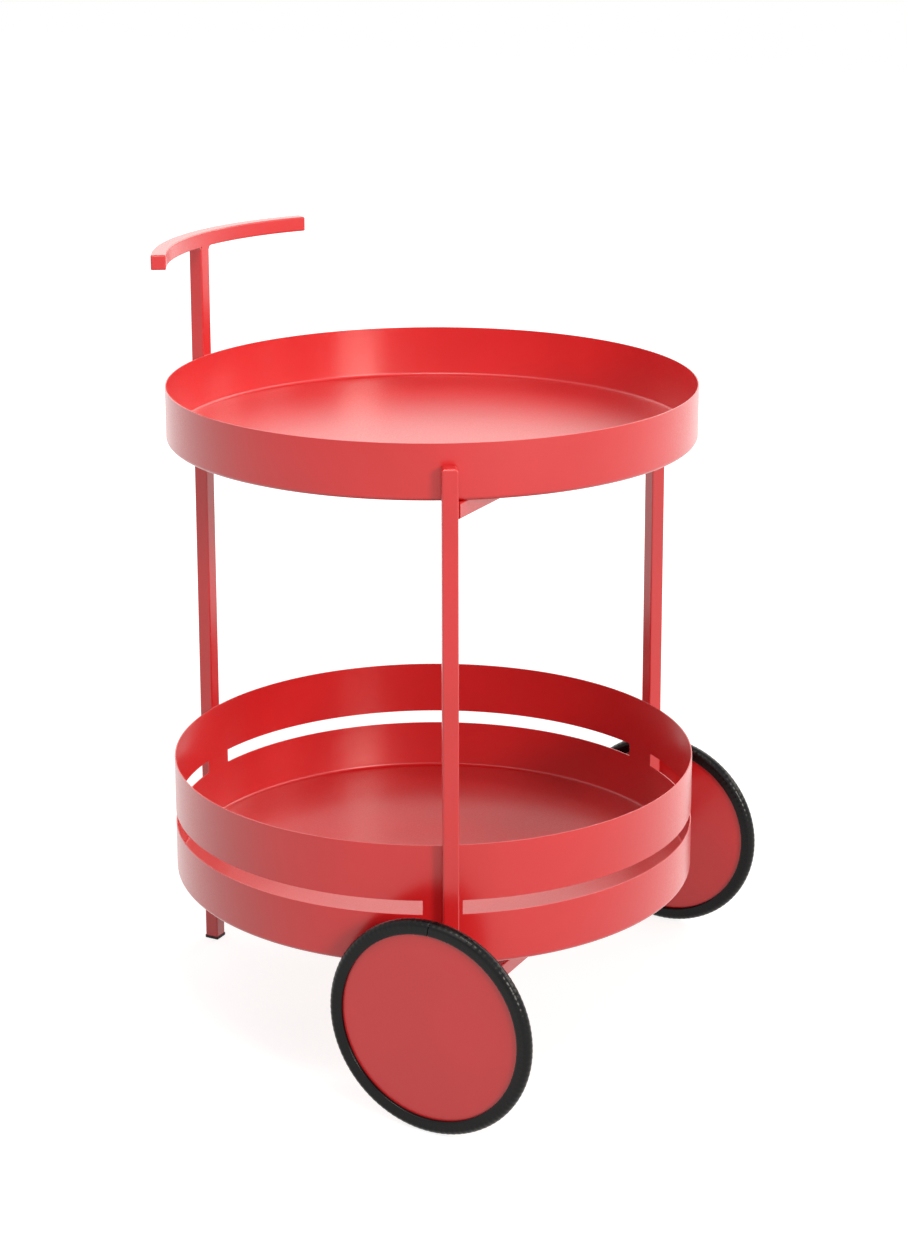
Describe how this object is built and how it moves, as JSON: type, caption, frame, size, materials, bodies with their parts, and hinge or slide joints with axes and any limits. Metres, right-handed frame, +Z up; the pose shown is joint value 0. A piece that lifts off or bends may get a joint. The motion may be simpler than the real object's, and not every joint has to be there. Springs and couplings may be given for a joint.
{
  "type": "serving cart",
  "caption": "Round tiered serving cart: shallow tray over a deeper slotted tray on square-tube legs, with a curved push handle, disc wheels with edge trim and a glide foot.",
  "frame": {"origin": "on the floor under the middle of the cart's bounding box, in its plane of symmetry", "axes": "+Z up, +Y away from the handle towards the wheels, +X along the axle to the right of someone pushing at the handle"},
  "size_m": [0.446, 0.4326, 0.62],
  "materials": {
    "red_powder_coat": "satin powder coat",
    "black_rubber_trim": "matt, finely ribbed",
    "black_plastic": "matt moulded",
    "plated_steel": "zinc plated",
    "white_nylon": "matt moulded"
  },
  "bodies": {
    "frame": {"upper_tray": "red_powder_coat", "lower_tray": "red_powder_coat", "right_wheel_leg": "red_powder_coat", "left_wheel_leg": "red_powder_coat", "handle_leg": "red_powder_coat", "handle_bar": "red_powder_coat", "handle_end_caps": "red_powder_coat", "wheel_leg_top_caps": "red_powder_coat", "wheel_leg_bottom_plugs": "black_plastic", "upper_crossbar": "red_powder_coat", "axle_beam": "red_powder_coat", "axle_rod": "plated_steel", "handle_foot_glide": "black_plastic"},
    "right_wheel": {"right_wheel_disc": "red_powder_coat", "right_wheel_tyre": "black_rubber_trim", "right_wheel_hub": "red_powder_coat", "right_wheel_bushes": "white_nylon", "right_wheel_grub_screw": "plated_steel"},
    "left_wheel": {"left_wheel_disc": "red_powder_coat", "left_wheel_tyre": "black_rubber_trim", "left_wheel_hub": "red_powder_coat", "left_wheel_bushes": "white_nylon", "left_wheel_grub_screw": "plated_steel"}
  },
  "joints": [
    {"name": "right_wheel_spin", "type": "hinge", "parent": "frame", "child": "right_wheel", "pos_m": [0.21775, 0.11911, 0.084], "axis": [1, 0, 0], "continuous": true},
    {"name": "left_wheel_spin", "type": "hinge", "parent": "frame", "child": "left_wheel", "pos_m": [-0.21775, 0.11911, 0.084], "axis": [1, 0, 0], "continuous": true}
  ]
}
